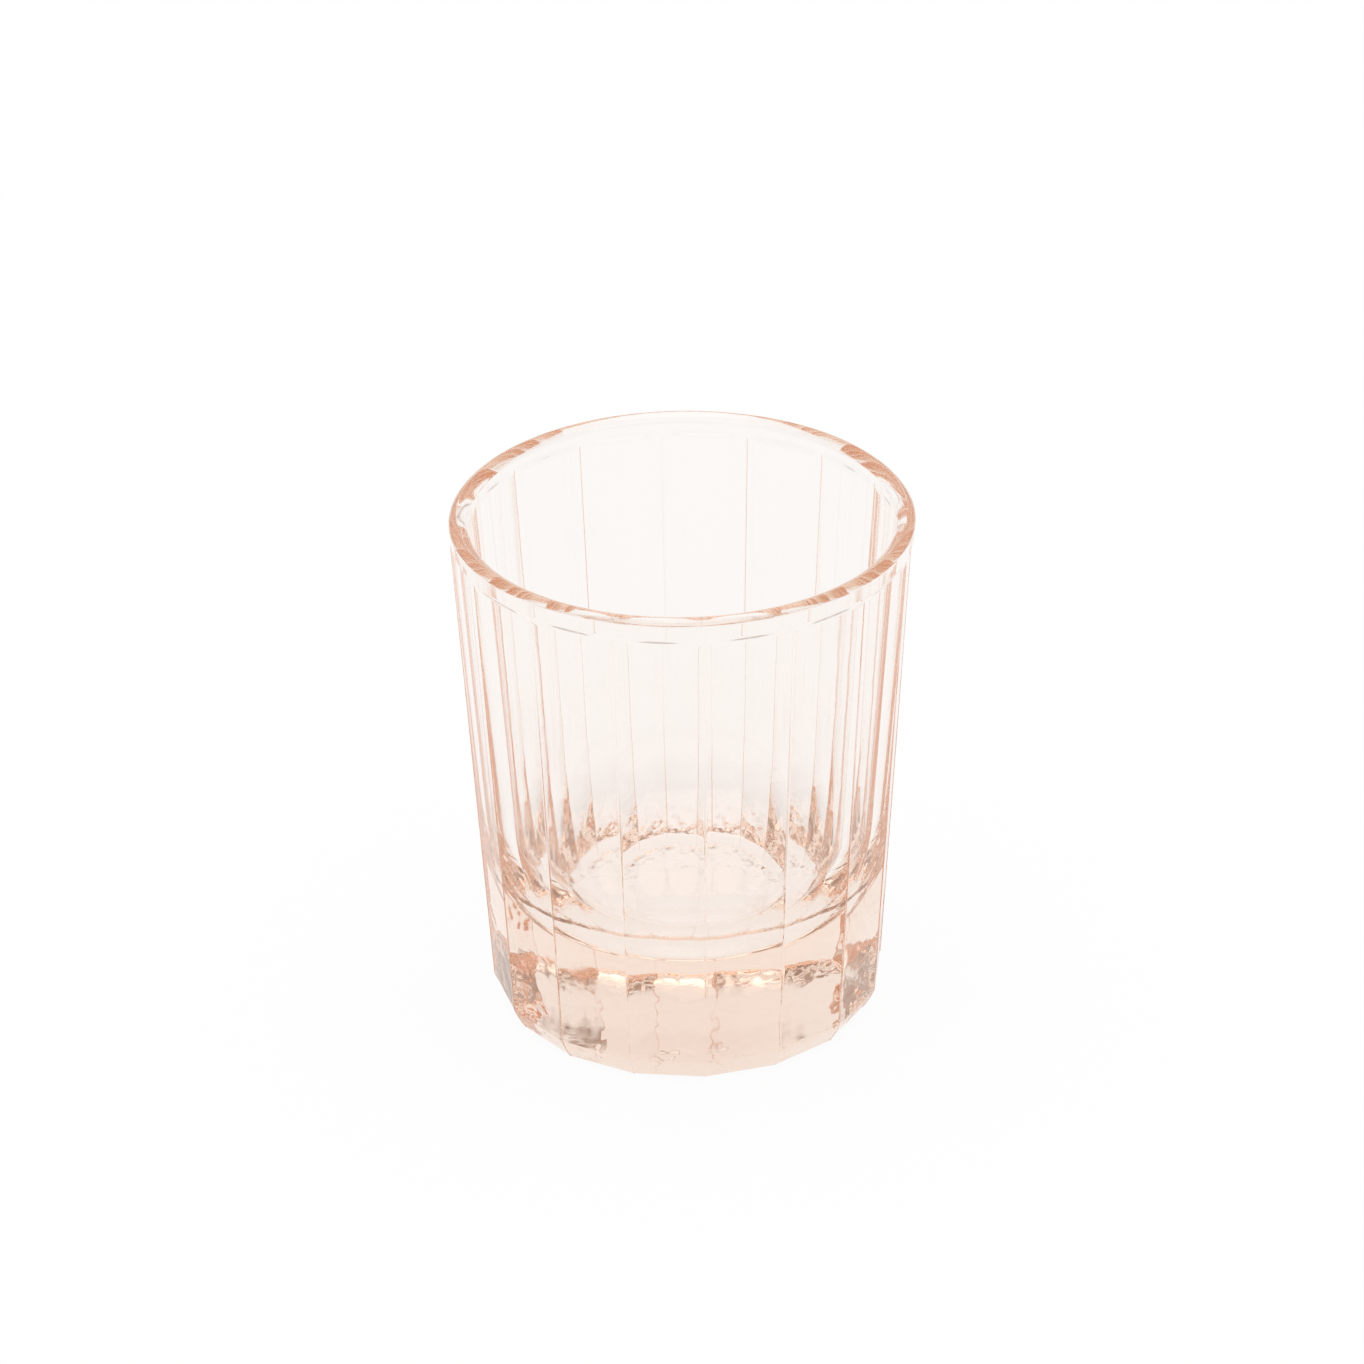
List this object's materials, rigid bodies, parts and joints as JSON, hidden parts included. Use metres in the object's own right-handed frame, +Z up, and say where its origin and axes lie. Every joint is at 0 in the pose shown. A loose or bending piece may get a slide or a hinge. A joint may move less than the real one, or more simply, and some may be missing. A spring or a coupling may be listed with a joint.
{
  "type": "drinking glass",
  "caption": "Small tapered tumbler in pale pink pressed glass, with flat vertical panels outside, a plain rounded lip, a round bowl and a thick base; holds a short drink.",
  "frame": {"origin": "centre of the foot, on the surface that the glass stands on", "axes": "+Z up along the axis of the glass, -Y towards a ridge between two panels"},
  "size_m": [0.0514, 0.0514, 0.0604],
  "materials": {
    "blush_glass": "clear pale pink glass, fire polished outside, faintly rippled from the mould"
  },
  "bodies": {
    "root": {"tumbler": "blush_glass"}
  },
  "joints": []
}
